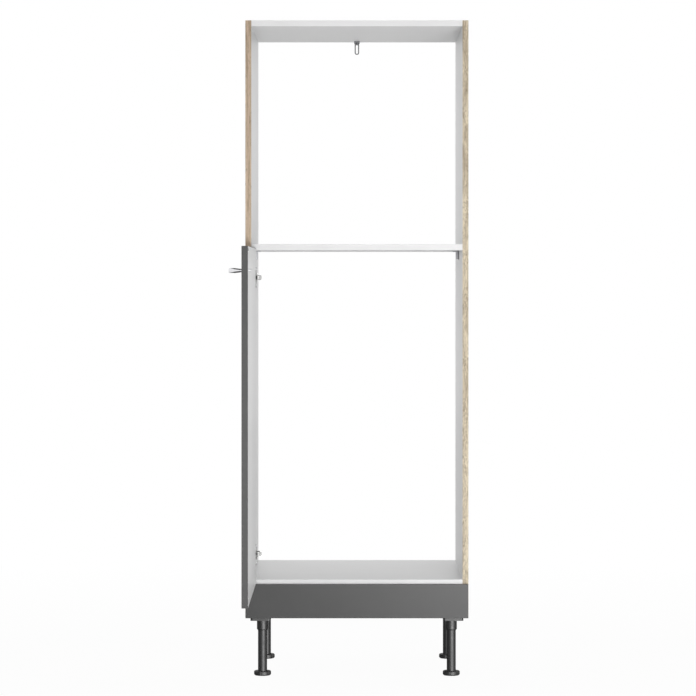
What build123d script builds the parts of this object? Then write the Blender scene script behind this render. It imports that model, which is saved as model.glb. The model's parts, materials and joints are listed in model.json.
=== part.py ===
from build123d import *
import math
import os

# Tall housing cabinet for a built-in oven above a built-in refrigerator, door standing open.
# Millimetres. X to the right seen from the front, Y from the front to the back, Z up from the floor.
# The origin is at floor level, under the middle of the box round the cabinet and its open door.

# Carcass
cabinet_width = 600.0
cabinet_depth = 560.0
side_thickness = 16.0
board_thickness = 16.0
board_depth = 534.0
leg_height = 164.0
plinth_gap = 70.0
fridge_niche_height = 886.0
oven_niche_height = 586.0
decor_thickness = 0.8
edge_band_thickness = 0.8
edge_band_round_share = 0.6

# Fronts
front_thickness = 16.0
front_face_thickness = 0.8
front_band_thickness = 1.0
front_band_bevel_share = 0.6
front_reveal = 2.0
front_gap = 2.0
false_front_height = 91.0
door_shelf_overlap = 5.0
door_open_inset = 13.5
door_open_gap = 2.0

# Carcass fittings
dowel_radius = 4.0
dowel_length = 30.0
dowel_in_side = 11.0
fitting_inset = 37.0
fitting_pitch = 32.0
cam_radius = 7.5
cam_height = 12.4
cam_setback = 34.0
cam_recess_depth = 1.2
cam_recess_width = 1.6
cam_bolt_radius = 3.0
cam_bolt_in_side = 10.5
cam_bolt_end_gap = 2.0
fit_clearance = 0.05
hole_end_clearance = 0.5
cut_overrun = 2.0

# Shelf supports and false front brackets
support_setback = 292.0
support_length = 16.0
support_web = 7.6
support_round = 2.2
support_height = 23.5
support_reach = 17.0
support_flange = 2.5
support_side_screw_length = 20.0
support_shelf_screw_length = 13.0
flat_head_height = 2.2
bracket_leg = 30.0
bracket_height = 40.0
bracket_plate = 2.0
bracket_screw_share = 0.6

# Wall bracket
wall_bracket_width = 16.5
wall_bracket_leg = 47.0
wall_bracket_plate = 2.0
wall_bracket_drop = 36.0
wall_strap_width = 13.0
wall_shoulder_height = 2.0
wall_taper_height = 3.0
wall_slot_width = 6.5
wall_slot_length = 25.0
wall_slot_end = 3.2

# Wood screws
screw_radius = 1.75
screw_length = 13.0
screw_head_radius = 3.6
screw_head_height = 2.2
screw_recess_width = 1.0
screw_recess_length = 4.2
screw_recess_depth = 1.1
screw_hole_clearance = 0.15

# Door hinges
hinge_inset = 79.0
hinge_arm_height = 25.5
hinge_arm_setback = 2.5
cup_pivot_height = 5.0
door_swing_past_open = 5.0
pivot_pin_radius = 1.2
pivot_clearance = 0.06
link_eye_radius = 2.2
link_width = 9.2
cheek_gap = 0.4
cheek_thickness = 1.4
nose_radius = 2.6
arm_rail_height = 5.6
arm_bend_setback = 30.0
arm_web_thickness = 1.4
arm_web_start = 4.0
plate_thickness = 2.4
plate_rail_height = 8.4
plate_front_setback = 24.0
plate_back_setback = 66.0
plate_wing_setback = 37.0
plate_wing_width = 14.0
plate_wing_length = 50.0
plate_screw_pitch = 32.0
adjuster_radius = 2.4
adjuster_head_radius = 3.4
adjuster_head_height = 1.2
adjuster_depth = 5.0
adjuster_end_gap = 8.0
cup_radius = 17.5
cup_depth = 11.6
cup_wall = 1.2
cup_setback = 22.5
cup_flange_thickness = 1.2
cup_flange_lip = 2.0
cup_flange_length = 56.0
cup_flange_width = 13.0
cup_flange_offset = 9.5
cup_screw_pitch = 45.0
cup_notch_margin = 0.9

# Door bumpers
bumper_radius = 4.0
bumper_clearance = 0.3
bumper_inset = 8.0
bumper_edge_inset = 6.0

# Door handle
handle_projection = 35.0
handle_depth = 10.0
handle_height = 12.4
handle_foot_height = 7.0
handle_taper_length = 24.0
handle_screw_pitch = 128.0
handle_foot_width = 11.0
handle_bend_radius = 14.0
handle_round = 3.0
handle_foot_round_share = 0.45
handle_edge_inset = 119.0
handle_drop = 61.0
handle_screw_radius = 2.0
handle_screw_grip = 12.0
handle_screw_hole_radius = 2.4
handle_screw_head_radius = 4.2
handle_screw_head_height = 2.4

# Legs
leg_side_setback = 44.0
leg_front_setback = 70.0
leg_pitch = 350.0
socket_plate_outer = 32.0
socket_plate_inner = 22.5
socket_plate_half_length = 29.0
socket_plate_thickness = 4.0
socket_skirt_height = 14.0
socket_skirt_wall = 2.4
socket_plate_round = 6.0
socket_rib_thickness = 2.2
socket_radius = 15.2
socket_length = 41.0
socket_chamfer = 2.0
socket_top_gap = 3.0
tube_radius = 12.25
tube_wall = 2.4
tube_insert_length = 22.0
tube_fit_clearance = 0.3
foot_radius = 23.0
foot_height = 12.0
foot_top_bevel = 1.6
foot_bottom_bevel = 2.6
foot_notch_radius = 1.9
foot_notch_depth = 0.9
foot_notch_count = 6
foot_notch_angle = -10.0
foot_top_gap = 0.3
spindle_radius = 6.0
spindle_length = 62.0
spindle_clearance = 0.3
leg_screw_board_inset = 8.0
leg_screw_wall_gap = 0.6

# Levels, from the floor up
base_bottom = leg_height
base_top = base_bottom + board_thickness
floor_bottom = base_top + plinth_gap
floor_top = floor_bottom + board_thickness
shelf_bottom = floor_top + fridge_niche_height
shelf_top = shelf_bottom + board_thickness
top_bottom = shelf_top + oven_niche_height
cabinet_top = top_bottom + board_thickness
false_front_top = base_bottom + false_front_height
door_bottom = false_front_top + front_reveal
door_top = shelf_bottom + door_shelf_overlap
door_width = cabinet_width - 2 * front_reveal

# Plan positions. The box round the open cabinet is centred on the origin.
half_width = cabinet_width / 2
inner_half = half_width - side_thickness
door_reach = door_width + door_open_gap
handle_overhang = inner_half - door_open_inset + front_thickness + handle_projection
center_x = (handle_overhang - half_width) / 2
front_y = (door_reach - cabinet_depth) / 2
back_y = front_y + cabinet_depth
left_wall = center_x - inner_half
right_wall = center_x + inner_half
left_out = center_x - half_width
right_out = center_x + half_width
board_back = front_y + board_depth
side_places = (("left", left_wall, left_out, 1), ("right", right_wall, right_out, -1))
fitting_setbacks = (fitting_inset, board_depth - fitting_inset)

# Open door. Its hinge edge is just in front of the side, its inner face inside the niche.
door_in = left_wall + door_open_inset
door_out = door_in - front_thickness
door_hinge_y = front_y - door_open_gap
door_free_y = door_hinge_y - door_width
hinge_levels = (door_bottom + hinge_inset, door_top - hinge_inset)

# Hinge link. The arm pivot is fixed to the cabinet and the cup pivot to the door. The cup pivot's
# distance from the hinge edge makes the link equally long with the door closed and open.
closed_corner_x = -half_width + front_reveal
arm_pivot_x = -inner_half + hinge_arm_height
span_closed_x = closed_corner_x - arm_pivot_x
span_closed_y = -front_gap + cup_pivot_height - hinge_arm_setback
span_open_x = -inner_half + door_open_inset + cup_pivot_height - arm_pivot_x
span_open_y = -door_open_gap - hinge_arm_setback
cup_pivot_setback = (span_open_x ** 2 + span_open_y ** 2 - span_closed_x ** 2 - span_closed_y ** 2) / (
    2 * (span_closed_x + span_open_y))
arm_pivot = (center_x + arm_pivot_x, front_y + hinge_arm_setback)
cup_pivot = (door_in + cup_pivot_height, door_hinge_y - cup_pivot_setback)
link_angle_closed = math.degrees(math.atan2(span_closed_y, span_closed_x + cup_pivot_setback)) % 360
link_angle_open = math.degrees(math.atan2(span_open_y - cup_pivot_setback, span_open_x)) % 360
link_turn = link_angle_open - link_angle_closed
door_turn = 90 + link_turn
link_ratio = -link_turn / door_turn

# Widths of the hinge's layers, from its middle outwards
cheek_inner = link_width / 2 + cheek_gap
cheek_outer = cheek_inner + cheek_thickness

# Legs
leg_xs = (left_out + leg_side_setback, right_out - leg_side_setback)
leg_ys = (front_y + leg_front_setback, front_y + leg_front_setback + leg_pitch)
leg_places = (
    ("front_left", leg_xs[0], leg_ys[0], -1),
    ("front_right", leg_xs[1], leg_ys[0], 1),
    ("rear_left", leg_xs[0], leg_ys[1], -1),
    ("rear_right", leg_xs[1], leg_ys[1], 1),
)
tube_bottom = foot_height + foot_top_gap
# The outer screws of a leg stand clear of the base board's end, the others clear of the skirt.
leg_screw_outer = leg_side_setback - side_thickness - leg_screw_board_inset
leg_screw_wall_inset = socket_skirt_wall + screw_head_radius + leg_screw_wall_gap
tube_top = base_bottom - socket_top_gap


def block(x0, x1, y0, y1, z0, z1):
    """A box between two corners."""
    place = Pos((x0 + x1) / 2, (y0 + y1) / 2, (z0 + z1) / 2)
    return place * Box(abs(x1 - x0), abs(y1 - y0), abs(z1 - z0))


def rod_z(x, y, z0, z1, radius):
    """An upright cylinder."""
    return Pos(x, y, (z0 + z1) / 2) * Cylinder(radius, abs(z1 - z0))


def rod_x(x0, x1, y, z, radius):
    """A cylinder along X."""
    return Pos((x0 + x1) / 2, y, z) * Rot(0, 90, 0) * Cylinder(radius, abs(x1 - x0))


def rod_y(x, y0, y1, z, radius):
    """A cylinder along Y."""
    return Pos(x, (y0 + y1) / 2, z) * Rot(90, 0, 0) * Cylinder(radius, abs(y1 - y0))


def group(pieces):
    """Several separate solids in one node."""
    return Compound(children=[solid for piece in pieces for solid in piece.solids()])


def save(name, shape):
    """Writes one node."""
    export_step(shape, os.path.join("parts", name + ".step"))


def screw():
    """A pan head screw under the origin, its head standing up from z = 0."""
    head = Pos(0, 0, screw_head_height / 2) * Cylinder(screw_head_radius, screw_head_height)
    head = fillet(head.edges().group_by(Axis.Z)[-1], screw_head_height / 2)
    shank = Pos(0, 0, -screw_length / 2) * Cylinder(screw_radius, screw_length)
    slot_place = Pos(0, 0, screw_head_height)
    slot_a = slot_place * Box(screw_recess_length, screw_recess_width, 2 * screw_recess_depth)
    slot_b = slot_place * Box(screw_recess_width, screw_recess_length, 2 * screw_recess_depth)
    return head + shank - slot_a - slot_b


def flat_screw(length):
    """A countersunk screw under the origin, its head flush with z = 0."""
    head = Pos(0, 0, -flat_head_height / 2) * Cone(screw_radius, screw_head_radius, flat_head_height)
    shank = Pos(0, 0, -length / 2) * Cylinder(screw_radius, length)
    slot_a = Box(screw_recess_length, screw_recess_width, 2 * screw_recess_depth)
    slot_b = Box(screw_recess_width, screw_recess_length, 2 * screw_recess_depth)
    return head + shank - slot_a - slot_b


def flat_screw_hole(plate, length):
    """The countersunk hole for such a screw, through a plate under z = 0 and on into what holds it."""
    gap = screw_hole_clearance
    cone = Cone(screw_radius + gap, screw_head_radius + gap, flat_head_height)
    sink = Pos(0, 0, -flat_head_height / 2) * cone + rod_z(0, 0, 0, cut_overrun, screw_head_radius + gap)
    through = rod_z(0, 0, -plate, 0, screw_radius + gap)
    pilot = rod_z(0, 0, -length - hole_end_clearance, -plate, screw_radius + fit_clearance)
    return sink + through + pilot


def screw_hole(plate):
    """The hole for a screw, through a plate under z = 0 and on into what it holds."""
    through = rod_z(0, 0, -plate, cut_overrun, screw_radius + screw_hole_clearance)
    pilot = rod_z(0, 0, -screw_length - hole_end_clearance, -plate, screw_radius + fit_clearance)
    return through + pilot


# Carcass boards
board_levels = (base_bottom, floor_bottom, shelf_bottom, top_bottom)
# Cams open upwards in the boards whose upper face is hidden, and downwards in the others.
board_cams_up = (True, False, False, True)


def fitting_places():
    """Each joint of a board to a side: level of the board's middle, cam direction, wall and depth."""
    for level, cams_up in zip(board_levels, board_cams_up):
        for name, wall_x, out_x, inward in side_places:
            for index, setback in enumerate(fitting_setbacks):
                toward_middle = 1 if index == 0 else -1
                cam_y = front_y + setback
                dowel_y = cam_y + toward_middle * fitting_pitch
                yield level, cams_up, wall_x, inward, cam_y, dowel_y


def dowel(wall_x, inward, y, z, clearance):
    """A dowel, or with a clearance the hole for it."""
    end_clearance = hole_end_clearance if clearance else 0
    outer = wall_x - inward * (dowel_in_side + end_clearance)
    inner = wall_x + inward * (dowel_length - dowel_in_side + end_clearance)
    return rod_x(outer, inner, y, z, dowel_radius + clearance)


def cam_bolt(wall_x, inward, y, z, clearance):
    """The bolt that the cam pulls, or with a clearance the hole for it."""
    end_clearance = hole_end_clearance if clearance else 0
    outer = wall_x - inward * (cam_bolt_in_side + end_clearance)
    inner = wall_x + inward * (cam_setback - cam_bolt_end_gap + end_clearance)
    return rod_x(outer, inner, y, z, cam_bolt_radius + clearance)


def cam_span(level, cams_up):
    """Lower and upper end of a cam housing."""
    if cams_up:
        return level + board_thickness - cam_height, level + board_thickness
    return level, level + cam_height


def cam(level, cams_up, wall_x, inward, y):
    """A cam housing with its cross recess and the bore that takes the bolt's end."""
    low, high = cam_span(level, cams_up)
    x = wall_x + inward * cam_setback
    body = rod_z(x, y, low, high, cam_radius - fit_clearance)
    face = high if cams_up else low
    for width, length in ((cam_recess_width, cam_radius), (cam_radius, cam_recess_width)):
        body -= Pos(x, y, face) * Box(width, length, 2 * cam_recess_depth)
    return body - cam_bolt(wall_x, inward, y, level + board_thickness / 2, fit_clearance)


def cam_bore(level, cams_up, wall_x, inward, y):
    """The pocket for a cam housing in its board."""
    low, high = cam_span(level, cams_up)
    x = wall_x + inward * cam_setback
    if cams_up:
        return rod_z(x, y, low - hole_end_clearance, high + cut_overrun, cam_radius)
    return rod_z(x, y, low - cut_overrun, high + hole_end_clearance, cam_radius)


def board(level):
    """A level board with its joint holes, without its front edge band."""
    shape = block(left_wall, right_wall, front_y + edge_band_thickness, board_back,
                  level, level + board_thickness)
    middle = level + board_thickness / 2
    for board_level, cams_up, wall_x, inward, cam_y, dowel_y in fitting_places():
        if board_level == level:
            shape -= dowel(wall_x, inward, dowel_y, middle, fit_clearance)
            shape -= cam_bolt(wall_x, inward, cam_y, middle, fit_clearance)
            shape -= cam_bore(level, cams_up, wall_x, inward, cam_y)
    return shape


def rounded_band(band, along):
    """A carcass edge band with its two long front edges rounded."""
    front_edges = band.edges().filter_by(along).group_by(Axis.Y)[0]
    return fillet(front_edges, edge_band_thickness * edge_band_round_share)


def board_band(level):
    """The front edge band of a level board."""
    band = block(left_wall, right_wall, front_y, front_y + edge_band_thickness,
                 level, level + board_thickness)
    return rounded_band(band, Axis.X)


def side_panel(wall_x, out_x, inward):
    """A side without its outer decor and front edge band, with its joint holes."""
    shape = block(wall_x, out_x + inward * decor_thickness, front_y + edge_band_thickness, back_y,
                  base_bottom, cabinet_top)
    for level, cams_up, place_x, direction, cam_y, dowel_y in fitting_places():
        if place_x == wall_x:
            middle = level + board_thickness / 2
            shape -= dowel(wall_x, inward, dowel_y, middle, fit_clearance)
            shape -= cam_bolt(wall_x, inward, cam_y, middle, fit_clearance)
    return shape


def side_decor(out_x, inward):
    """The wood decor on the outside of a side."""
    return block(out_x, out_x + inward * decor_thickness, front_y + edge_band_thickness, back_y,
                 base_bottom, cabinet_top)


def side_band(wall_x, out_x):
    """The wood decor band on the front edge of a side."""
    band = block(wall_x, out_x, front_y, front_y + edge_band_thickness, base_bottom, cabinet_top)
    return rounded_band(band, Axis.Z)


# Shelf supports, false front brackets and wall bracket
support_y = front_y + support_setback


def shelf_support(wall_x, inward):
    """A cast angle under the oven shelf, against one side, with its screw holes."""
    y0 = support_y - support_length / 2
    y1 = support_y + support_length / 2
    web = block(wall_x, wall_x + inward * support_web, y0, y1,
                shelf_bottom - support_height, shelf_bottom)
    web = fillet(web.edges().filter_by(Axis.Z), support_round)
    flange = block(wall_x, wall_x + inward * support_reach, y0, y1,
                   shelf_bottom - support_flange, shelf_bottom)
    flange = fillet(flange.edges().filter_by(Axis.Z), support_round)
    side_hole, shelf_hole = support_holes(wall_x, inward)
    return web + flange - side_hole - shelf_hole


def support_screw_places(wall_x, inward):
    """A screw into the side and a screw up into the shelf, both countersunk."""
    side_screw_z = shelf_bottom - support_flange - (support_height - support_flange) / 2
    shelf_screw_x = wall_x + inward * (support_web + support_reach) / 2
    return (
        Pos(wall_x + inward * support_web, support_y, side_screw_z) * Rot(0, inward * 90, 0),
        Pos(shelf_screw_x, support_y, shelf_bottom - support_flange) * Rot(180, 0, 0),
    )


def support_holes(wall_x, inward):
    """The holes of those two screws."""
    side_place, shelf_place = support_screw_places(wall_x, inward)
    side_hole = side_place * flat_screw_hole(support_web, support_side_screw_length)
    shelf_hole = shelf_place * flat_screw_hole(support_flange, support_shelf_screw_length)
    return side_hole, shelf_hole


def support_screws(wall_x, inward):
    """Those two screws."""
    side_place, shelf_place = support_screw_places(wall_x, inward)
    return [side_place * flat_screw(support_side_screw_length),
            shelf_place * flat_screw(support_shelf_screw_length)]


false_front_back = front_y - front_gap
bracket_z = (base_top + floor_bottom) / 2


def false_front_bracket(wall_x, inward):
    """An angle that holds the false front to one side."""
    z0 = bracket_z - bracket_height / 2
    z1 = bracket_z + bracket_height / 2
    side_leg = block(wall_x, wall_x + inward * bracket_plate, false_front_back,
                     false_front_back + bracket_leg, z0, z1)
    front_leg = block(wall_x, wall_x + inward * bracket_leg, false_front_back,
                      false_front_back + bracket_plate, z0, z1)
    return side_leg + front_leg


def bracket_screw_places(wall_x, inward):
    """A screw into the side and a screw into the false front."""
    along = bracket_leg * bracket_screw_share
    return (
        Pos(wall_x + inward * bracket_plate, false_front_back + along, bracket_z) * Rot(0, inward * 90, 0),
        Pos(wall_x + inward * along, false_front_back + bracket_plate, bracket_z) * Rot(-90, 0, 0),
    )


wall_bracket_y = board_back - wall_bracket_plate
wall_screw_y = board_back - wall_bracket_leg / 2


def wall_bracket():
    """The slotted strap at the back of the top board that holds the cabinet to a wall."""
    half = wall_bracket_width / 2
    strap_half = wall_strap_width / 2
    leg = block(center_x - half, center_x + half, board_back - wall_bracket_leg, board_back,
                top_bottom - wall_bracket_plate, top_bottom)
    shoulder_z = -wall_shoulder_height
    taper_z = shoulder_z - wall_taper_height
    end_z = -wall_bracket_drop + strap_half
    outline = Polyline((-strap_half, end_z), (-strap_half, taper_z), (-half, shoulder_z), (-half, 0),
                       (half, 0), (half, shoulder_z), (strap_half, taper_z), (strap_half, end_z))
    end = ThreePointArc((strap_half, end_z), (0, -wall_bracket_drop), (-strap_half, end_z))
    sheet = extrude(make_face(outline + end), wall_bracket_plate)
    strap = Pos(center_x, board_back, top_bottom) * Rot(90, 0, 0) * sheet
    slot_z = top_bottom - wall_bracket_drop + wall_slot_end + wall_slot_length / 2
    slot = extrude(SlotOverall(wall_slot_length, wall_slot_width), 2 * wall_bracket_plate, both=True)
    slot_place = Pos(center_x, board_back, slot_z) * Rot(90, 0, 0) * Rot(0, 0, 90)
    return leg + strap - slot_place * slot


wall_screw_place = Pos(center_x, wall_screw_y, top_bottom - wall_bracket_plate) * Rot(180, 0, 0)


# False front
def false_front():
    """Core, grey face and grey edge bands of the fixed front under the door."""
    half = half_width - front_reveal / 2
    x0 = center_x - half
    x1 = center_x + half
    return front_board(x0, x1, base_bottom, false_front_top, false_front_back, -1)


def front_board(x0, x1, z0, z1, back, outward):
    """A front standing in the XZ plane, as its core, its face and its four bevelled edge bands."""
    band = front_band_thickness
    face_y = back + outward * (front_thickness - front_face_thickness)
    core = block(x0 + band, x1 - band, back, face_y, z0 + band, z1 - band)
    face = block(x0 + band, x1 - band, face_y, back + outward * front_thickness, z0 + band, z1 - band)
    front = back + outward * front_thickness
    bands = [
        block(x0, x0 + band, back, front, z0, z1),
        block(x1 - band, x1, back, front, z0, z1),
        block(x0 + band, x1 - band, back, front, z0, z0 + band),
        block(x0 + band, x1 - band, back, front, z1 - band, z1),
    ]
    outside = block(x0, x1, back, front, z0, z1)
    rims = outside.edges().filter_by(Axis.Y, reverse=True)
    outside = chamfer(rims, band * front_band_bevel_share)
    return core, face, [piece & outside for piece in bands]


# Door, drawn closed about its hinge edge and then stood open
door_place = Pos(door_in, door_hinge_y, 0) * Rot(0, 0, -90)
# In the door's own plane, X runs from the hinge edge to the free edge and Y into the cabinet.


def cup_recess(level):
    """The pocket for a hinge cup, with the pilot holes of its two screws."""
    pocket = rod_z_in_door(cup_setback, level, cup_radius + fit_clearance, cup_depth + hole_end_clearance)
    for z in (level - cup_screw_pitch / 2, level + cup_screw_pitch / 2):
        pocket += cup_screw_place(z) * screw_hole(cup_flange_thickness)
    return pocket


def rod_z_in_door(x, z, radius, depth):
    """A cylinder from the door's inner face into the door."""
    return rod_y(x, -depth, 0, z, radius)


def cup_screw_place(z):
    """Where a cup screw sits, on the flange."""
    return Pos(cup_setback + cup_flange_offset, cup_flange_thickness, z) * Rot(-90, 0, 0)


handle_x = door_width - handle_edge_inset
handle_z = door_top - handle_drop
handle_screw_xs = (handle_x - handle_screw_pitch / 2, handle_x + handle_screw_pitch / 2)


def door():
    """Core, face and edge bands of the door, with its pockets and screw holes."""
    core, face, bands = front_board(0, door_width, door_bottom, door_top, 0, -1)
    for level in hinge_levels:
        core -= cup_recess(level)
    for x in handle_screw_xs:
        hole = rod_y(x, -front_thickness - cut_overrun, cut_overrun, handle_z, handle_screw_hole_radius)
        core -= hole
        face -= hole
    return door_place * core, door_place * face, [door_place * band for band in bands]


def door_bumpers():
    """Two soft stops on the inner face, by the free edge."""
    height = front_gap - bumper_clearance
    x = door_width - bumper_edge_inset
    levels = (door_bottom + bumper_inset, door_top - bumper_inset)
    return [door_place * rod_y(x, 0, height, z, bumper_radius) for z in levels]


def handle():
    """A bow handle of tapering legs and a rounded grip, on the door's outer face."""
    half = handle_screw_pitch / 2 + handle_foot_width / 2
    inner = half - handle_foot_width
    outer_out = -handle_projection
    inner_out = handle_depth - handle_projection
    bend = handle_bend_radius
    inner_bend = bend - handle_depth + handle_foot_width / 2
    bow = Polyline((-half, 0), (-half, outer_out), (half, outer_out), (half, 0))
    hollow = Polyline((-inner, 0), (-inner, inner_out), (inner, inner_out), (inner, 0))
    outer_face = make_face(bow + Line((half, 0), (-half, 0)))
    inner_face = make_face(hollow + Line((inner, 0), (-inner, 0)))
    outer_face = fillet(outer_face.vertices().group_by(Axis.Y)[0], bend)
    inner_face = fillet(inner_face.vertices().group_by(Axis.Y)[0], inner_bend)
    shape = extrude(outer_face - inner_face, handle_height / 2, both=True)
    long_edges = shape.edges().filter_by(Plane.XY)
    outline_edges = [edge for edge in long_edges if edge.center().Y < -fit_clearance]
    shape = fillet(outline_edges, handle_round)
    taper = Polyline((0, -handle_foot_height / 2), (-handle_taper_length, -handle_height / 2),
                     (-handle_projection, -handle_height / 2), (-handle_projection, handle_height / 2),
                     (-handle_taper_length, handle_height / 2), (0, handle_foot_height / 2), close=True)
    envelope = extrude(Plane.YZ * make_face(taper), half, both=True)
    end_edges = envelope.edges().filter_by(Plane.YZ)
    slope_edges = [edge for edge in end_edges if edge.bounding_box().size.Y > fit_clearance]
    slope_round = min(handle_round, handle_foot_round_share * handle_foot_height)
    shape = shape & fillet(slope_edges, slope_round)
    for x in (-handle_screw_pitch / 2, handle_screw_pitch / 2):
        shape -= rod_y(x, -handle_screw_grip - hole_end_clearance, cut_overrun, 0,
                       handle_screw_radius + fit_clearance)
    return door_place * Pos(handle_x, -front_thickness, handle_z) * shape


def handle_screws():
    """Machine screws from the door's inner face into the handle's legs."""
    screws = []
    for x in handle_screw_xs:
        shank = rod_y(x, -front_thickness - handle_screw_grip, 0, handle_z, handle_screw_radius)
        head = rod_y(x, 0, handle_screw_head_height, handle_z, handle_screw_head_radius)
        rim = head.edges().group_by(Axis.Y)[-1]
        head = fillet(rim, handle_screw_head_height / 2)
        recess_place = Pos(x, handle_screw_head_height, handle_z)
        recess = Box(screw_recess_length, 2 * screw_recess_depth, screw_recess_width)
        recess += Box(screw_recess_width, 2 * screw_recess_depth, screw_recess_length)
        screws.append(door_place * (shank + head - recess_place * recess))
    return screws


# Hinges, drawn in plan about each hinge's level
def plan_extrude(sketch_face, z0, z1):
    """A plan outline raised between two levels."""
    return Pos(0, 0, z0) * extrude(sketch_face, z1 - z0)


def circle_at(point, radius):
    """A round plan outline."""
    return Pos(point[0], point[1]) * Circle(radius)


def capsule(start, end, radius):
    """The plan outline of a bar with round ends."""
    dx = end[0] - start[0]
    dy = end[1] - start[1]
    length = math.hypot(dx, dy)
    angle = math.degrees(math.atan2(dy, dx))
    middle = Pos((start[0] + end[0]) / 2, (start[1] + end[1]) / 2)
    bar = middle * Rot(0, 0, angle) * Rectangle(length, 2 * radius)
    return bar + circle_at(start, radius) + circle_at(end, radius)


def hinge_link(level):
    """The link between the arm's nose and the cup."""
    outline = capsule(arm_pivot, cup_pivot, link_eye_radius)
    shape = plan_extrude(outline, level - link_width / 2, level + link_width / 2)
    for pivot in (arm_pivot, cup_pivot):
        shape -= rod_z(pivot[0], pivot[1], level - link_width, level + link_width,
                       pivot_pin_radius + pivot_clearance)
    return shape


def pivot_pin(pivot, level):
    """A pin through a pair of cheeks and the link between them."""
    return rod_z(pivot[0], pivot[1], level - cheek_outer, level + cheek_outer, pivot_pin_radius)


def arm_outline():
    """The arm in plan, from its nose back along the mounting plate."""
    rail = left_wall + plate_rail_height
    crest = rail + arm_rail_height
    bend = front_y + arm_bend_setback
    rear = front_y + plate_back_setback
    nose_x, nose_y = arm_pivot
    points = [(nose_x - nose_radius, nose_y), (rail, front_y + plate_front_setback), (rail, rear),
              (crest, rear), (crest, bend), (nose_x + nose_radius, nose_y)]
    return make_face(Polyline(*points, close=True)) + circle_at(arm_pivot, nose_radius)


def arm_web_outline():
    """The arm's back plate in plan, a strip along the edge away from the side."""
    crest = left_wall + plate_rail_height + arm_rail_height
    bend = front_y + arm_bend_setback
    rear = front_y + plate_back_setback
    nose_x, nose_y = arm_pivot
    start_y = nose_y + arm_web_start
    start_share = arm_web_start / (bend - nose_y)
    start_x = nose_x + nose_radius + (crest - nose_x - nose_radius) * start_share
    inner = arm_web_thickness
    points = [(start_x, start_y), (crest, bend), (crest, rear), (crest - inner, rear),
              (crest - inner, bend), (start_x - inner, start_y)]
    return make_face(Polyline(*points, close=True))


def adjuster_places(level):
    """The two adjusting screws on the arm."""
    crest = left_wall + plate_rail_height + arm_rail_height
    first = front_y + arm_bend_setback + adjuster_end_gap
    second = front_y + plate_back_setback - adjuster_end_gap
    return ((crest, first, level), (crest, second, level))


def adjuster(place, clearance):
    """An adjusting screw, or with a clearance the hole for its shank."""
    x, y, z = place
    end_clearance = hole_end_clearance if clearance else 0
    foot = left_wall + plate_rail_height - adjuster_depth - end_clearance
    shank = rod_x(foot, x, y, z, adjuster_radius + clearance)
    if clearance:
        return shank
    slot_place = Pos(x + adjuster_head_height, y, z)
    slot = slot_place * Box(adjuster_head_height, 2 * adjuster_head_radius, screw_recess_width)
    return shank + rod_x(x, x + adjuster_head_height, y, z, adjuster_head_radius) - slot


def hinge_arm(level):
    """A channel of two cheeks and a web, open towards the side."""
    outline = arm_outline()
    shape = plan_extrude(outline, level - cheek_outer, level - cheek_inner)
    shape += plan_extrude(outline, level + cheek_inner, level + cheek_outer)
    shape += plan_extrude(arm_web_outline(), level - cheek_outer, level + cheek_outer)
    for place in adjuster_places(level):
        shape -= adjuster(place, fit_clearance)
    return shape - rod_z(arm_pivot[0], arm_pivot[1], level - 2 * cheek_outer, level + 2 * cheek_outer,
                         pivot_pin_radius + fit_clearance / 2)


def hinge_plate(level):
    """The cross-shaped mounting plate on the side."""
    rail = block(left_wall, left_wall + plate_rail_height, front_y + plate_front_setback,
                 front_y + plate_back_setback, level - cheek_outer, level + cheek_outer)
    wing_y = front_y + plate_wing_setback
    wing = block(left_wall, left_wall + plate_thickness, wing_y - plate_wing_width / 2,
                 wing_y + plate_wing_width / 2, level - plate_wing_length / 2, level + plate_wing_length / 2)
    wing = fillet(wing.edges().filter_by(Axis.X), plate_wing_width / 4)
    shape = rail + wing
    for place in plate_screw_places(level):
        shape -= place * screw_hole(plate_thickness)
    for place in adjuster_places(level):
        shape -= adjuster(place, fit_clearance)
    return shape


def plate_screw_places(level):
    """The two screws of a mounting plate."""
    x = left_wall + plate_thickness
    y = front_y + plate_wing_setback
    return [Pos(x, y, level + sign * plate_screw_pitch / 2) * Rot(0, 90, 0) for sign in (-1, 1)]


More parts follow.
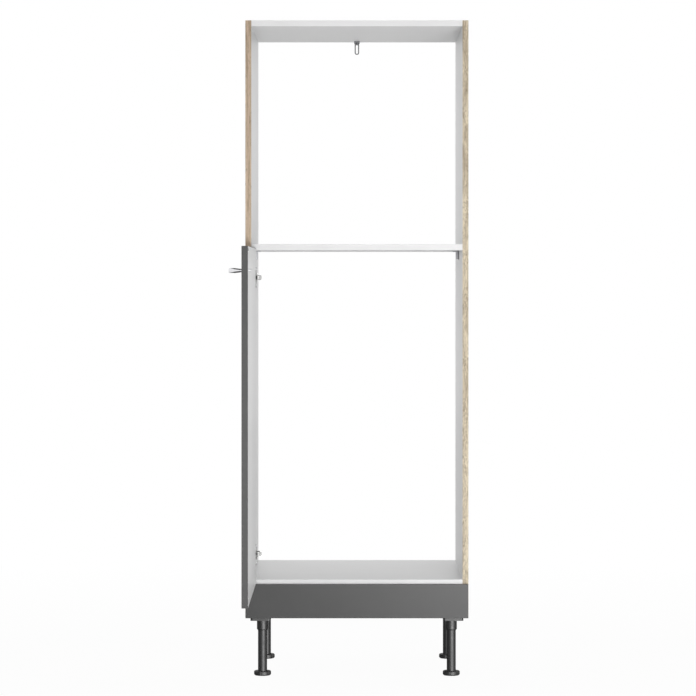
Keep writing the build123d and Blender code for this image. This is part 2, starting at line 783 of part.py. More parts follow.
def hinge_cup(level):
    """A dish with a winged flange and the two ears that hold the link, drawn in the door's plane."""
    dish = rod_z_in_door(cup_setback, level, cup_radius, cup_depth)
    dish -= rod_y(cup_setback, cup_wall - cup_depth, cut_overrun, level, cup_radius - cup_wall)
    ring = rod_y(cup_setback, 0, cup_flange_thickness, level, cup_radius + cup_flange_lip)
    wing_x = cup_setback + cup_flange_offset
    wing = block(wing_x - cup_flange_width / 2, wing_x + cup_flange_width / 2, 0, cup_flange_thickness,
                 level - cup_flange_length / 2, level + cup_flange_length / 2)
    wing = fillet(wing.edges().filter_by(Axis.Y), cup_flange_width / 3)
    opening = rod_y(cup_setback, -cut_overrun, cut_overrun, level, cup_radius - cup_wall)
    notch_half = cheek_outer + cup_notch_margin
    notch = block(cup_setback - 2 * cup_radius, cup_setback + 2 * cup_radius, 0, 2 * cup_flange_thickness,
                  level - notch_half, level + notch_half)
    shape = dish + (ring + wing - opening - notch)
    low = level - cheek_outer
    high = level + cheek_outer
    ear = block(cup_pivot_setback - link_eye_radius, cup_pivot_setback + link_eye_radius,
                cup_wall / 2 - cup_depth, cup_pivot_height, low, high)
    ear += rod_z(cup_pivot_setback, cup_pivot_height, low, high, link_eye_radius)
    ear -= block(cup_pivot_setback - 2 * link_eye_radius, cup_pivot_setback + 2 * link_eye_radius,
                 cup_wall - cup_depth, cup_pivot_height + 2 * link_eye_radius,
                 level - cheek_inner, level + cheek_inner)
    shape += ear
    shape -= rod_z(cup_pivot_setback, cup_pivot_height, level - 2 * cheek_outer, level + 2 * cheek_outer,
                   pivot_pin_radius + fit_clearance / 2)
    for z in (level - cup_screw_pitch / 2, level + cup_screw_pitch / 2):
        shape -= cup_screw_place(z) * screw_hole(cup_flange_thickness)
    return door_place * shape


def cup_screws(level):
    """The two screws of a hinge cup."""
    places = [cup_screw_place(level + sign * cup_screw_pitch / 2) for sign in (-1, 1)]
    return [door_place * place * screw() for place in places]


# Legs, drawn about their own axis with the outer side of the cabinet towards -X
def leg_screw_spots(outward):
    """The four corner screws of a leg socket, about the leg's axis."""
    outer = outward * leg_screw_outer
    inner = -outward * (socket_plate_inner - leg_screw_wall_inset)
    half = socket_plate_half_length - leg_screw_wall_inset
    return [(x, y) for x in (outer, inner) for y in (-half, half)]


def leg_socket(outward):
    """A plate with a skirt, ribs and a round socket, its top at z = 0."""
    x_outer = outward * socket_plate_outer
    x_inner = -outward * socket_plate_inner
    half = socket_plate_half_length
    shell = block(x_outer, x_inner, -half, half, -socket_skirt_height, 0)
    shell = fillet(shell.edges().filter_by(Axis.Z), socket_plate_round)
    wall = socket_skirt_wall
    pocket = block(x_outer - outward * wall, x_inner + outward * wall, -half + wall, half - wall,
                   -socket_skirt_height - cut_overrun, -socket_plate_thickness)
    pocket = fillet(pocket.edges().filter_by(Axis.Z), socket_plate_round - wall)
    rib_x = block(x_outer - outward * wall / 2, x_inner + outward * wall / 2, -socket_rib_thickness / 2,
                  socket_rib_thickness / 2, -socket_skirt_height, 0)
    rib_y = block(-socket_rib_thickness / 2, socket_rib_thickness / 2, wall / 2 - half, half - wall / 2,
                  -socket_skirt_height, 0)
    barrel = rod_z(0, 0, -socket_length, 0, socket_radius)
    barrel = chamfer(barrel.edges().group_by(Axis.Z)[0], socket_chamfer)
    shape = shell - pocket + rib_x + rib_y + barrel
    shape -= rod_z(0, 0, -socket_length - cut_overrun, -socket_top_gap, tube_radius + tube_fit_clearance)
    for x, y in leg_screw_spots(outward):
        shape -= rod_z(x, y, -socket_plate_thickness - cut_overrun, cut_overrun,
                       screw_radius + screw_hole_clearance)
    return shape


def leg_tube(x, y):
    """The leg's tube, with the threaded insert at its lower end."""
    shape = rod_z(x, y, tube_bottom, tube_top, tube_radius)
    shape -= rod_z(x, y, tube_bottom + tube_insert_length, tube_top + cut_overrun, tube_radius - tube_wall)
    return shape - rod_z(x, y, tube_bottom - cut_overrun, tube_top, spindle_radius + spindle_clearance)


def leg_foot(x, y):
    """The foot with its grip notches and its spindle."""
    disc = rod_z(0, 0, 0, foot_height, foot_radius)
    disc = chamfer(disc.edges().group_by(Axis.Z)[-1], foot_top_bevel)
    disc = chamfer(disc.edges().group_by(Axis.Z)[0], foot_bottom_bevel)
    notch_distance = foot_radius - foot_notch_depth + foot_notch_radius
    for step in range(foot_notch_count):
        # The first notch is turned from the front, where Y is least.
        angle = math.radians(foot_notch_angle - 90 + step * 360 / foot_notch_count)
        disc -= rod_z(notch_distance * math.cos(angle), notch_distance * math.sin(angle),
                      -cut_overrun, foot_height + cut_overrun, foot_notch_radius)
    spindle = rod_z(0, 0, foot_height / 2, foot_height + spindle_length, spindle_radius)
    return Pos(x, y, 0) * (disc + spindle)


def leg_screws(x, y, outward):
    """The four screws that hold a leg socket up against the carcass."""
    z = base_bottom - socket_plate_thickness
    spots = leg_screw_spots(outward)
    return [Pos(x + dx, y + dy, z) * Rot(180, 0, 0) * screw() for dx, dy in spots]


def leg_screw_holes():
    """The pilot holes of all leg screws, in the base board and the sides."""
    holes = []
    for name, x, y, outward in leg_places:
        for dx, dy in leg_screw_spots(outward):
            place = Pos(x + dx, y + dy, base_bottom - socket_plate_thickness) * Rot(180, 0, 0)
            holes.append(place * screw_hole(socket_plate_thickness))
    return holes


def write_carcass():
    """Boards, sides and their fittings."""
    leg_holes = leg_screw_holes()
    sides = {}
    for name, wall_x, out_x, inward in side_places:
        shape = side_panel(wall_x, out_x, inward)
        cuts = [support_holes(wall_x, inward)[0]]
        cuts.append(bracket_screw_places(wall_x, inward)[0] * screw_hole(bracket_plate))
        if name == "left":
            for level in hinge_levels:
                cuts += [place * screw_hole(plate_thickness) for place in plate_screw_places(level)]
        for hole in cuts + leg_holes:
            shape -= hole
        sides[name] = shape
        save("side_panel_" + name, shape)
        save("side_decor_" + name, side_decor(out_x, inward))
        save("side_edge_band_" + name, side_band(wall_x, out_x))
        save("shelf_support_" + name, shelf_support(wall_x, inward))
        save("false_front_bracket_" + name, false_front_bracket(wall_x, inward)
             - bracket_screw_places(wall_x, inward)[0] * screw_hole(bracket_plate)
             - bracket_screw_places(wall_x, inward)[1] * screw_hole(bracket_plate))
    base = board(base_bottom)
    for hole in leg_holes:
        base -= hole
    shelf = board(shelf_bottom)
    for name, wall_x, out_x, inward in side_places:
        shelf -= support_holes(wall_x, inward)[1]
    top = board(top_bottom) - wall_screw_place * screw_hole(wall_bracket_plate)
    names = ("base_board", "fridge_floor", "oven_shelf", "top_board")
    shapes = (base, board(floor_bottom), shelf, top)
    for name, shape, level in zip(names, shapes, board_levels):
        save(name, shape)
        save(name + "_edge_band", board_band(level))


def write_fittings():
    """Dowels, cams, bolts, screws and the wall bracket."""
    dowels, cams, bolts = [], [], []
    for level, cams_up, wall_x, inward, cam_y, dowel_y in fitting_places():
        middle = level + board_thickness / 2
        dowels.append(dowel(wall_x, inward, dowel_y, middle, 0))
        bolts.append(cam_bolt(wall_x, inward, cam_y, middle, 0))
        cams.append(cam(level, cams_up, wall_x, inward, cam_y))
    save("wood_dowels", group(dowels))
    save("cam_housings", group(cams))
    save("cam_bolts", group(bolts))
    shelf_screws, bracket_screws = [], []
    for name, wall_x, out_x, inward in side_places:
        shelf_screws += support_screws(wall_x, inward)
        bracket_screws += [place * screw() for place in bracket_screw_places(wall_x, inward)]
    save("shelf_support_screws", group(shelf_screws))
    save("false_front_screws", group(bracket_screws))
    save("wall_bracket", wall_bracket() - wall_screw_place * screw_hole(wall_bracket_plate))
    save("wall_bracket_screw", wall_screw_place * screw())


def write_fronts():
    """False front, door, handle and bumpers."""
    core, face, bands = false_front()
    for name, wall_x, out_x, inward in side_places:
        core -= bracket_screw_places(wall_x, inward)[1] * screw_hole(bracket_plate)
    save("false_front", core)
    save("false_front_face", face)
    save("false_front_edge_band", group(bands))
    core, face, bands = door()
    save("door_panel", core)
    save("door_face", face)
    save("door_edge_band", group(bands))
    save("door_bumpers", group(door_bumpers()))
    save("door_handle", handle())
    save("handle_screws", group(handle_screws()))


def write_hinges():
    """Plates, arms, links, cups, pins and screws of both hinges."""
    plate_screws, cup_screw_set, adjusters, arm_pins, cup_pins = [], [], [], [], []
    for name, level in zip(("lower", "upper"), hinge_levels):
        save("hinge_plate_" + name, hinge_plate(level))
        save("hinge_arm_" + name, hinge_arm(level))
        save("hinge_link_" + name, hinge_link(level))
        save("hinge_cup_" + name, hinge_cup(level))
        plate_screws += [place * screw() for place in plate_screw_places(level)]
        cup_screw_set += cup_screws(level)
        adjusters += [adjuster(place, 0) for place in adjuster_places(level)]
        arm_pins.append(pivot_pin(arm_pivot, level))
        cup_pins.append(pivot_pin(cup_pivot, level))
    save("hinge_plate_screws", group(plate_screws))
    save("hinge_cup_screws", group(cup_screw_set))
    save("hinge_adjusting_screws", group(adjusters))
    save("hinge_arm_pins", group(arm_pins))
    save("hinge_cup_pins", group(cup_pins))


def write_legs():
    """Sockets, tubes, feet and screws of the four legs."""
    screws = []
    for name, x, y, outward in leg_places:
        save("leg_socket_" + name, Pos(x, y, base_bottom) * leg_socket(outward))
        save("leg_tube_" + name, leg_tube(x, y))
        save("leg_foot_" + name, leg_foot(x, y))
        screws += leg_screws(x, y, outward)
    save("leg_screws", group(screws))


os.makedirs("parts", exist_ok=True)
write_carcass()
write_fittings()
write_fronts()
write_hinges()
write_legs()
print("centre", round(center_x, 3), "front plane", round(front_y, 3), "top", cabinet_top)
print("arm pivot", arm_pivot, "cup pivot", cup_pivot, "setback", cup_pivot_setback)
print("link turn", link_turn, "door turn on the link", door_turn, "ratio", link_ratio)
print("door limit past open", door_swing_past_open * door_turn / 90)
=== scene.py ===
import json
import math

import bpy
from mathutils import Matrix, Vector


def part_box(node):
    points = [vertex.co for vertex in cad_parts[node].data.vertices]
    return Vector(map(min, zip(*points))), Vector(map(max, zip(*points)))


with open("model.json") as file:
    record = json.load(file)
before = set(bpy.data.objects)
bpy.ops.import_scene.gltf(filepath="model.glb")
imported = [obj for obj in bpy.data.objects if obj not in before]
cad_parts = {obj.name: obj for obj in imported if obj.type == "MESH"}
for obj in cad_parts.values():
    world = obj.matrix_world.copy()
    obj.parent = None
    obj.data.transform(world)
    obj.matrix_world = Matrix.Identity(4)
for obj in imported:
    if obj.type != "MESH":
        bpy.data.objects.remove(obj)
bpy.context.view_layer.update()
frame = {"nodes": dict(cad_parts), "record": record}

nodes = frame["nodes"]

# Lengths and places are in metres, and powers in watts, unless a name says otherwise.
MM = 0.001

# The photograph's view: a long lens straight in front of the cabinet, above its middle.
PHOTO_SIZE_PX = 696
VANISHING_X_PX = 356.9
VANISHING_Y_PX = 277.0
FRONT_SCALE_MM_PER_PX = 2.689
CAMERA_DISTANCE = 7.745
CAMERA_HEIGHT = 1.0797
SENSOR_WIDTH_MM = 36.0

# Colours, as display values from 0 to 1.
WHITE_BOARD = (0.87, 0.87, 0.87)
# The door's white is a darker copy of the boards' white: painted shade on the open door.
WHITE_DOOR_PAINTED_SHADE = (0.845, 0.845, 0.845)
WHITE_BAND = (0.965, 0.965, 0.965)
GREY_FACE = (0.295, 0.295, 0.295)
GREY_BAND = (0.31, 0.31, 0.31)
OAK_SIDE_LIGHT = (0.86, 0.785, 0.685)
OAK_SIDE_DARK = (0.64, 0.56, 0.47)
OAK_RIGHT_LIGHT = (0.90, 0.85, 0.75)
OAK_RIGHT_DARK = (0.68, 0.62, 0.53)
OAK_LEFT_LIGHT = (0.82, 0.735, 0.64)
OAK_LEFT_DARK = (0.62, 0.53, 0.44)
OAK_PORE = (0.46, 0.41, 0.33)
BEECH = (0.80, 0.66, 0.48)
CAST_ZINC = (0.70, 0.70, 0.71)
NICKEL = (0.97, 0.97, 0.965)
# The hinge cups' nickel is darkened: painted shade, which draws the dark lines at their rims.
NICKEL_CUP_PAINTED_SHADE = (0.66, 0.66, 0.655)
ZINC = (0.80, 0.80, 0.815)
ZINC_SCREW = (0.93, 0.93, 0.94)
ZINC_BRACKET = (0.55, 0.55, 0.56)
CHROME = (0.90, 0.90, 0.91)
BLACK_PLASTIC = (0.10, 0.10, 0.102)
CLEAR_SOFT = (0.90, 0.90, 0.90)

# Depths of the reliefs.
PEARL_DEPTH = 0.00003
OAK_DEPTH = 0.00012
CHROME_WAVE_DEPTH = 0.000005
PLASTIC_GRAIN_DEPTH = 0.000004
SOFT_GRAIN_DEPTH = 0.00002

# How finely each part of the grain repeats, in times per metre along x, y and z.
OAK_BROAD = (26, 26, 0.9)
OAK_STREAK = (170, 170, 7)
OAK_SPECKLE = (300, 300, 120)
OAK_PORES = (700, 700, 60)
BEECH_GRAIN = (30, 900, 900)

# Shares of the broad and the fine streaks in the oak's tone, and the middle of a noise value.
OAK_BROAD_SHARE = 0.4
OAK_STREAK_SHARE = 0.6
NOISE_MIDDLE = 0.5

# How far the roughness varies: by this much on melamine, and between shares of it elsewhere.
MELAMINE_SPREAD = 0.02
METAL_SMOOTHEST = 0.8
METAL_ROUGHEST = 1.2
PLASTIC_SMOOTHEST = 0.85
PLASTIC_ROUGHEST = 1.15

# Shader values that are the same all over a piece.
PLASTIC_SPECULAR = 0.4
BEECH_ROUGHNESS = 0.6
SOFT_ROUGHNESS = 0.25
SOFT_TRANSMISSION = 0.6

# Light. The world's strength grows towards the back, the sides and the top, which lights the niches
# through the open back. The key lamp stands low at the front right, the other one high.
WORLD_EVEN = 0.03
WORLD_BACK = 1.2
WORLD_LEFT = 0.7
WORLD_RIGHT = 0.2
WORLD_TOP = 0.1
KEY_POWER = 24.5
KEY_PLACE = (0.65, -2.3, 0.28)
KEY_TARGET = (0.0, 0.0, 0.2)
KEY_SIZE = (0.3, 0.5)
TOP_POWER = 23.0
TOP_PLACE = (0.9, -2.4, 3.2)
TOP_TARGET = (0.0, 0.0, 0.9)
TOP_SIZE = (2.0, 1.0)

# A lamp that only the reflections of the black legs show, as their long highlight.
LEG_LIGHT_POWER = 700.0
LEG_LIGHT_PLACE = (1.95, -4.5, 0.2)
LEG_LIGHT_TARGET = (0.0, 0.0, 0.08)
LEG_LIGHT_SIZE = (1.6, 0.35)

# The floor. The camera sees a share of it plain white up to the near distance from the middle, and
# all of it from the far one on. The rest keeps the object's shadow. Reflections see a share too.
FLOOR_REACH = 14.0
FLOOR_GREY = 0.85
FLOOR_ROUGHNESS = 0.9
FLOOR_WHITE_NEAR = 0.96
FLOOR_NEAR = 1.3
FLOOR_FAR = 3.2
FLOOR_WHITE_REFLECTED = 0.40

# Black flags that only reflections show: two large ones, above the cabinet and just over the floor.
FLAG_GREY = 0.01
FLAG_SIDE = 1.1
FLAG_FRONT = -1.5
FLAG_BACK = 0.9
FLAG_TOP = 2.3
FLAG_BOTTOM = 0.001

# Two small flags that only mirrors show, above and below the handle. They begin this far inside its
# outer end, and reach this far past it to the front and to the back.
HANDLE_FLAG_GAP = 0.07
HANDLE_FLAG_INSET = 0.011
HANDLE_FLAG_PAST = 0.35


def linear(display):
    """Display colour values as the linear values that the shaders take, by the display's curve."""
    return tuple(v / 12.92 if v <= 0.04045 else ((v + 0.055) / 1.055) ** 2.4 for v in display)


def shade(color, factor):
    """A display colour made darker or lighter."""
    return tuple(min(v * factor, 1.0) for v in color)


def material(name):
    """A new material with its node tree and its shader."""
    mat = bpy.data.materials.new(name)
    mat.use_nodes = True
    tree = mat.node_tree
    return mat, tree, tree.nodes["Principled BSDF"]


def stretch(tree, vector, scale):
    """Places stretched along the axes."""
    mapping = tree.nodes.new("ShaderNodeMapping")
    mapping.inputs["Scale"].default_value = scale
    tree.links.new(vector, mapping.inputs["Vector"])
    return mapping.outputs["Vector"]


def object_coordinates(tree, scale=(1, 1, 1)):
    """Places on the object in metres, stretched."""
    coordinates = tree.nodes.new("ShaderNodeTexCoord")
    return stretch(tree, coordinates.outputs["Object"], scale)


def waved(tree, vector, scale, amount):
    """Places pushed aside by smooth noise, which bends straight grain."""
    shift = tree.nodes.new("ShaderNodeTexNoise")
    shift.inputs["Scale"].default_value = scale
    shift.inputs["Detail"].default_value = 1.0
    tree.links.new(vector, shift.inputs["Vector"])
    push = tree.nodes.new("ShaderNodeVectorMath")
    push.operation = "MULTIPLY_ADD"
    push.inputs[1].default_value = (amount, amount, amount)
    tree.links.new(shift.outputs["Color"], push.inputs[0])
    tree.links.new(vector, push.inputs[2])
    return push.outputs["Vector"]


def noise(tree, vector, detail, scale=1.0, roughness=0.5, distortion=0.0):
    """A noise value over the object."""
    node = tree.nodes.new("ShaderNodeTexNoise")
    node.inputs["Scale"].default_value = scale
    node.inputs["Detail"].default_value = detail
    node.inputs["Roughness"].default_value = roughness
    node.inputs["Distortion"].default_value = distortion
    tree.links.new(vector, node.inputs["Vector"])
    return node.outputs["Fac"]


def ramp(tree, value, dark, light_tone, low=0.3, high=0.7):
    """A value turned into a display colour: dark up to low, and light from high on."""
    node = tree.nodes.new("ShaderNodeValToRGB")
    stops = ((low, dark), (high, light_tone))
    for element, (place, color) in zip(node.color_ramp.elements, stops):
        element.position = place
        element.color = (*linear(color), 1)
    tree.links.new(value, node.inputs["Fac"])
    return node.outputs["Color"]


def fit(tree, value, low, high, start=0.0, end=1.0):
    """A value between start and end, brought between low and high."""
    node = tree.nodes.new("ShaderNodeMapRange")
    node.inputs["From Min"].default_value = start
    node.inputs["From Max"].default_value = end
    node.inputs["To Min"].default_value = low
    node.inputs["To Max"].default_value = high
    tree.links.new(value, node.inputs["Value"])
    return node.outputs["Result"]


def math_node(tree, operation, first, second):
    """A sum, product or the like of two values, either of them a plain number."""
    node = tree.nodes.new("ShaderNodeMath")
    node.operation = operation
    for socket, value in zip(node.inputs, (first, second)):
        if isinstance(value, (int, float)):
            socket.default_value = value
        else:
            tree.links.new(value, socket)
    return node.outputs["Value"]


def cover(tree, color, factor, tone):
    """A colour covered by a plain display colour where a value is high."""
    node = tree.nodes.new("ShaderNodeMix")
    node.data_type = "RGBA"
    tree.links.new(factor, node.inputs["Factor"])
    tree.links.new(color, node.inputs["A"])
    node.inputs["B"].default_value = (*linear(tone), 1)
    return node.outputs["Result"]


def vary_color(tree, shader, value, color, darkest, lightest):
    """The shader's colour, varied by a value between two shares of a display colour."""
    tones = ramp(tree, value, shade(color, darkest), shade(color, lightest))
    tree.links.new(tones, shader.inputs["Base Color"])


def vary_roughness(tree, shader, value, smoothest, roughest):
    """The shader's roughness, varied by a value."""
    tree.links.new(fit(tree, value, smoothest, roughest), shader.inputs["Roughness"])


def bump(tree, shader, height, distance, strength):
    """Relief on a shader from a height value."""
    node = tree.nodes.new("ShaderNodeBump")
    node.inputs["Distance"].default_value = distance
    node.inputs["Strength"].default_value = strength
    tree.links.new(height, node.inputs["Height"])
    tree.links.new(node.outputs["Normal"], shader.inputs["Normal"])


def blend(tree, factor, first, second, output):
    """Two shaders mixed by a value, on an output node."""
    mix = tree.nodes.new("ShaderNodeMixShader")
    tree.links.new(factor, mix.inputs["Fac"])
    tree.links.new(first, mix.inputs[1])
    tree.links.new(second, mix.inputs[2])
    tree.links.new(mix.outputs["Shader"], output.inputs["Surface"])


def melamine(name, color, roughness, contrast=0.005):
    """Plain melamine: faint clouds in the colour, a fine pearl in the relief, an uneven sheen."""
    mat, tree, shader = material(name)
    places = object_coordinates(tree)
    pearl = noise(tree, places, scale=900.0, detail=2.0)
    cloud = noise(tree, places, scale=14.0, detail=3.0)
    vary_color(tree, shader, cloud, color, 1 - contrast, 1 + contrast)
    vary_roughness(tree, shader, cloud, roughness - MELAMINE_SPREAD, roughness + MELAMINE_SPREAD)
    bump(tree, shader, pearl, PEARL_DEPTH, strength=0.5)
    return mat


def oak(name, light_tone, dark_tone, wave, speckled):
    """Rough-sawn oak decor: bent upright streaks, growth lines, speckle and short dark pores."""
    mat, tree, shader = material(name)
    places = waved(tree, object_coordinates(tree), scale=9.0, amount=wave)
    broad = noise(tree, stretch(tree, places, OAK_BROAD),
                  detail=4.0, roughness=0.55, distortion=0.8)
    streak = noise(tree, stretch(tree, places, OAK_STREAK),
                   detail=4.0, roughness=0.55, distortion=0.4)
    speckle = noise(tree, stretch(tree, places, OAK_SPECKLE), detail=2.0, roughness=0.6)
    pore = noise(tree, stretch(tree, places, OAK_PORES), detail=2.0)
    spots = noise(tree, places, scale=20.0, detail=1.0)
    clusters = fit(tree, spots, low=0.2, high=1.0, start=0.46, end=0.58)
    grain = math_node(tree, "SUBTRACT", speckle, NOISE_MIDDLE)
    grain = math_node(tree, "MULTIPLY", grain, clusters)
    tone = math_node(tree, "ADD", math_node(tree, "MULTIPLY", broad, OAK_BROAD_SHARE),
                     math_node(tree, "MULTIPLY", streak, OAK_STREAK_SHARE))
    tone = math_node(tree, "ADD", tone, math_node(tree, "MULTIPLY", grain, speckled))
    wood = ramp(tree, tone, dark_tone, light_tone, low=0.38, high=0.60)
    holes = fit(tree, pore, low=0.0, high=0.75, start=0.60, end=0.72)
    tree.links.new(cover(tree, wood, holes, OAK_PORE), shader.inputs["Base Color"])
    vary_roughness(tree, shader, streak, smoothest=0.52, roughest=0.68)
    bump(tree, shader, math_node(tree, "SUBTRACT", speckle, holes), OAK_DEPTH, strength=0.6)
    return mat


def metal(name, color, roughness):
    """Plated metal with slight unevenness in its gloss and colour."""
    mat, tree, shader = material(name)
    cloud = noise(tree, object_coordinates(tree), scale=160.0, detail=3.0)
    vary_color(tree, shader, cloud, color, darkest=0.97, lightest=1.02)
    vary_roughness(tree, shader, cloud, roughness * METAL_SMOOTHEST, roughness * METAL_ROUGHEST)
    shader.inputs["Metallic"].default_value = 1.0
    return mat


def mirror_metal(name, color):
    """Polished plating: a mirror with faint waves in its relief."""
    mat, tree, shader = material(name)
    cloud = noise(tree, object_coordinates(tree), scale=120.0, detail=2.0)
    vary_color(tree, shader, cloud, color, darkest=0.98, lightest=1.02)
    shader.inputs["Metallic"].default_value = 1.0
    shader.inputs["Roughness"].default_value = 0.0
    bump(tree, shader, cloud, CHROME_WAVE_DEPTH, strength=0.3)
    return mat


def plastic(name, color, roughness):
    """Moulded plastic with a fine spark-eroded texture."""
    mat, tree, shader = material(name)
    places = object_coordinates(tree)
    grain = noise(tree, places, scale=1500.0, detail=2.0)
    cloud = noise(tree, places, scale=60.0, detail=2.0)
    vary_color(tree, shader, cloud, color, darkest=0.92, lightest=1.08)
    vary_roughness(tree, shader, cloud, roughness * PLASTIC_SMOOTHEST, roughness * PLASTIC_ROUGHEST)
    shader.inputs["Specular IOR Level"].default_value = PLASTIC_SPECULAR
    bump(tree, shader, grain, PLASTIC_GRAIN_DEPTH, strength=0.4)
    return mat


def wood_plain(name, color):
    """Turned beech of the dowels."""
    mat, tree, shader = material(name)
    grain = noise(tree, object_coordinates(tree, BEECH_GRAIN), detail=3.0)
    vary_color(tree, shader, grain, color, darkest=0.8, lightest=1.0)
    shader.inputs["Roughness"].default_value = BEECH_ROUGHNESS
    return mat


def soft_clear(name, color):
    """Milky clear elastomer."""
    mat, tree, shader = material(name)
    places = object_coordinates(tree)
    cloud = noise(tree, places, scale=300.0, detail=2.0)
    vary_color(tree, shader, cloud, color, darkest=0.96, lightest=1.0)
    shader.inputs["Roughness"].default_value = SOFT_ROUGHNESS
    shader.inputs["Transmission Weight"].default_value = SOFT_TRANSMISSION
    grain = noise(tree, places, scale=900.0, detail=2.0)
    bump(tree, shader, grain, SOFT_GRAIN_DEPTH, strength=0.3)
    return mat


# The looks of the record's material slots, and more for nodes that differ from their slot.
materials = {
    "white_board": melamine("white_melamine", WHITE_BOARD, roughness=0.34),
    # The door's darker copy of the white melamine: painted shade on the open door.
    "white_door": melamine("white_door_melamine", WHITE_DOOR_PAINTED_SHADE, roughness=0.34),
    "white_band": melamine("white_edging", WHITE_BAND, roughness=0.36),
    "oak_decor": oak("oak_side", OAK_SIDE_LIGHT, OAK_SIDE_DARK, wave=0.008, speckled=0.2),
    "oak_band_right": oak("oak_band_right", OAK_RIGHT_LIGHT, OAK_RIGHT_DARK,
                          wave=0.03, speckled=0.8),
    "oak_band_left": oak("oak_band_left", OAK_LEFT_LIGHT, OAK_LEFT_DARK,
                         wave=0.006, speckled=0.15),
    "grey_face": melamine("grey_front", GREY_FACE, roughness=0.42, contrast=0.01),
    "grey_band": melamine("grey_edging", GREY_BAND, roughness=0.42, contrast=0.01),
    "beech": wood_plain("beech", BEECH),
    "cast_zinc": metal("cast_zinc", CAST_ZINC, roughness=0.45),
    "nickel_steel": metal("nickel_plate", NICKEL, roughness=0.24),
    # Darkened nickel for the hinge cups: painted shade for the dark lines at their rims.
    "nickel_cup": metal("nickel_cup", NICKEL_CUP_PAINTED_SHADE, roughness=0.30),
    "nickel_link": metal("nickel_link", NICKEL, roughness=0.65),
    "zinc_steel": metal("zinc_plate", ZINC, roughness=0.30),
    "zinc_screw": metal("zinc_screw", ZINC_SCREW, roughness=0.45),
    "zinc_bracket": metal("zinc_bracket", ZINC_BRACKET, roughness=0.28),
    "polished_chrome": mirror_metal("polished_chrome", CHROME),
    "black_plastic": plastic("black_plastic", BLACK_PLASTIC, roughness=0.56),
    "clear_soft": soft_clear("soft_stop", CLEAR_SOFT),
}

# The nodes that take one of those looks instead of their slot's.
own_materials = {
    # The door takes the darker white of painted shade.
    "door_panel": "white_door",
    "handle_screws": "zinc_screw",
    "hinge_cup_screws": "zinc_screw",
    "hinge_plate_screws": "zinc_screw",
    "wall_bracket": "zinc_bracket",
    "wall_bracket_screw": "zinc_bracket",
    # The hinge cups take the darkened nickel of painted shade.
    "hinge_cup_lower": "nickel_cup",
    "hinge_cup_upper": "nickel_cup",
    "hinge_link_lower": "nickel_link",
    "hinge_link_upper": "nickel_link",
    "side_edge_band_left": "oak_band_left",
    "side_edge_band_right": "oak_band_right",
}
for part in frame["record"]["subparts"]:
    node = part["node"]
    nodes[node].data.materials.clear()
    nodes[node].data.materials.append(materials[own_materials.get(node, part["material_slot"])])


def add_object(name, data):
    """A new object of the studio."""
    obj = bpy.data.objects.new(name, data)
    bpy.context.scene.collection.objects.link(obj)
    return obj


def card(name, x_range, y_range, z, mat):
    """A level rectangular card of the studio."""
    corners = [(x_range[0], y_range[0], z), (x_range[1], y_range[0], z),
               (x_range[1], y_range[1], z), (x_range[0], y_range[1], z)]
    mesh = bpy.data.meshes.new(name)
    mesh.from_pydata(corners, [], [(0, 1, 2, 3)])
    mesh.materials.append(mat)
    obj = add_object(name, mesh)
    return obj


def light(name, place, target, size, power):
    """A soft rectangular lamp aimed at a point."""
    data = bpy.data.lights.new(name, "AREA")
    data.shape = "RECTANGLE"
    data.size, data.size_y = size
    data.energy = power
    obj = add_object(name, data)
    obj.location = place
    obj.rotation_euler = (Vector(target) - Vector(place)).to_track_quat("-Z", "Y").to_euler()
    return obj


def seen_rays(tree):
    """Two values: 1 for the camera's rays, and 1 for those of reflections and of clear pieces."""
    rays = tree.nodes.new("ShaderNodeLightPath").outputs
    other = math_node(tree, "MAXIMUM", rays["Is Glossy Ray"], rays["Is Transmission Ray"])
    return rays["Is Camera Ray"], other


def studio():
    """World light, a white background, and two soft lamps at the front."""
    world = bpy.data.worlds.new("studio")
    bpy.context.scene.world = world
    world.use_nodes = True
    tree = world.node_tree
    tree.nodes.clear()
    output = tree.nodes.new("ShaderNodeOutputWorld")
    lit = tree.nodes.new("ShaderNodeBackground")
    shown = tree.nodes.new("ShaderNodeBackground")
    direction = tree.nodes.new("ShaderNodeTexCoord").outputs["Generated"]
    axes = tree.nodes.new("ShaderNodeSeparateXYZ")
    tree.links.new(direction, axes.inputs["Vector"])
    strength = WORLD_EVEN
    growths = (("Y", WORLD_BACK), ("X", -WORLD_LEFT), ("X", WORLD_RIGHT), ("Z", WORLD_TOP))
    for axis, amount in growths:
        growth = math_node(tree, "MULTIPLY", axes.outputs[axis], amount)
        strength = math_node(tree, "ADD", math_node(tree, "MAXIMUM", growth, 0.0), strength)
    lit.inputs["Color"].default_value = (1, 1, 1, 1)
    tree.links.new(strength, lit.inputs["Strength"])
    shown.inputs["Color"].default_value = (1, 1, 1, 1)
    shown.inputs["Strength"].default_value = 1.0
    seen = math_node(tree, "MAXIMUM", *seen_rays(tree))
    blend(tree, seen, lit.outputs["Background"], shown.outputs["Background"], output)
    light("key", KEY_PLACE, KEY_TARGET, KEY_SIZE, KEY_POWER)
    light("top", TOP_PLACE, TOP_TARGET, TOP_SIZE, TOP_POWER)


def leg_light():
    """The lamp of the legs' highlight, which no other piece receives."""
    lamp = light("leg_light", LEG_LIGHT_PLACE, LEG_LIGHT_TARGET, LEG_LIGHT_SIZE,
                 LEG_LIGHT_POWER)
    lamp.visible_diffuse = False
    lamp.visible_camera = False
    receivers = bpy.data.collections.new("leg_light_receivers")
    for part in frame["record"]["subparts"]:
        if part["material_slot"] == "black_plastic":
            receivers.objects.link(nodes[part["node"]])
    lamp.light_linking.receiver_collection = receivers


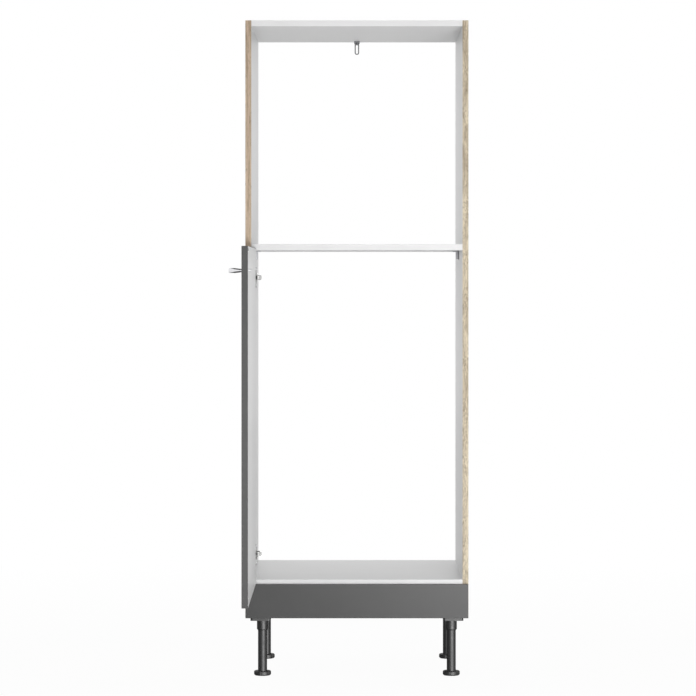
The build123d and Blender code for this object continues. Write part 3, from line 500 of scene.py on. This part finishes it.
def floor():
    """A wide white floor with a soft shadow near the object, plain white further off."""
    mat, tree, shader = material("floor_white")
    shader.inputs["Base Color"].default_value = (FLOOR_GREY, FLOOR_GREY, FLOOR_GREY, 1)
    shader.inputs["Roughness"].default_value = FLOOR_ROUGHNESS
    glow = tree.nodes.new("ShaderNodeEmission")
    length = tree.nodes.new("ShaderNodeVectorMath")
    length.operation = "LENGTH"
    tree.links.new(object_coordinates(tree), length.inputs[0])
    share = fit(tree, length.outputs["Value"], FLOOR_WHITE_NEAR, 1.0, FLOOR_NEAR, FLOOR_FAR)
    camera_ray, other_ray = seen_rays(tree)
    direct = math_node(tree, "MULTIPLY", share, camera_ray)
    reflected = math_node(tree, "MULTIPLY", other_ray, FLOOR_WHITE_REFLECTED)
    white = math_node(tree, "MAXIMUM", direct, reflected)
    blend(tree, white, shader.outputs["BSDF"], glow.outputs["Emission"],
          tree.nodes["Material Output"])
    across = (-FLOOR_REACH, FLOOR_REACH)
    card("floor", across, across, 0, mat)


def flag(name, x_range, y_range, z, mat):
    """A level black card that only reflections show."""
    obj = card(name, x_range, y_range, z, mat)
    obj.visible_camera = False
    obj.visible_diffuse = False
    obj.visible_transmission = False
    obj.visible_volume_scatter = False
    obj.visible_shadow = False


def flag_material(name):
    """Matt black of the flags."""
    mat, tree, shader = material(name)
    shader.inputs["Base Color"].default_value = (FLAG_GREY, FLAG_GREY, FLAG_GREY, 1)
    shader.inputs["Roughness"].default_value = 1.0
    return mat, tree, shader


def view_flags():
    """The two large flags, which give bright metal and dark plastic their dark edges."""
    mat = flag_material("flag_black")[0]
    for name, z in (("flag_top", FLAG_TOP), ("flag_bottom", FLAG_BOTTOM)):
        flag(name, (-FLAG_SIDE, FLAG_SIDE), (FLAG_FRONT, FLAG_BACK), z, mat)


def handle_flags():
    """The two flags of the chrome handle, clear to all rays but a mirror's."""
    mat, tree, shader = flag_material("flag_for_mirrors")
    path = tree.nodes.new("ShaderNodeLightPath")
    clear = tree.nodes.new("ShaderNodeBsdfTransparent")
    blend(tree, path.outputs["Is Singular Ray"], clear.outputs["BSDF"], shader.outputs["BSDF"],
          tree.nodes["Material Output"])
    low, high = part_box("door_handle")
    x_range = (low[0] + HANDLE_FLAG_INSET, high[0])
    y_range = (low[1] - HANDLE_FLAG_PAST, high[1] + HANDLE_FLAG_PAST)
    flag("flag_handle_top", x_range, y_range, high[2] + HANDLE_FLAG_GAP, mat)
    flag("flag_handle_bottom", x_range, y_range, low[2] - HANDLE_FLAG_GAP, mat)


def camera():
    """The photograph's camera: level, long lens, shifted to the photograph's framing."""
    data = bpy.data.cameras.new("camera")
    view_width = PHOTO_SIZE_PX * FRONT_SCALE_MM_PER_PX * MM
    data.sensor_width = SENSOR_WIDTH_MM
    data.lens = SENSOR_WIDTH_MM * CAMERA_DISTANCE / view_width
    data.shift_x = (PHOTO_SIZE_PX / 2 - VANISHING_X_PX) / PHOTO_SIZE_PX
    data.shift_y = (VANISHING_Y_PX - PHOTO_SIZE_PX / 2) / PHOTO_SIZE_PX
    low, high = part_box("top_board_edge_band")
    obj = add_object("camera", data)
    obj.location = ((low[0] + high[0]) / 2, low[1] - CAMERA_DISTANCE, CAMERA_HEIGHT)
    obj.rotation_euler = (math.pi / 2, 0, 0)
    bpy.context.scene.camera = obj


studio()
leg_light()
floor()
view_flags()
handle_flags()
camera()
bpy.context.scene.view_settings.view_transform = "Standard"
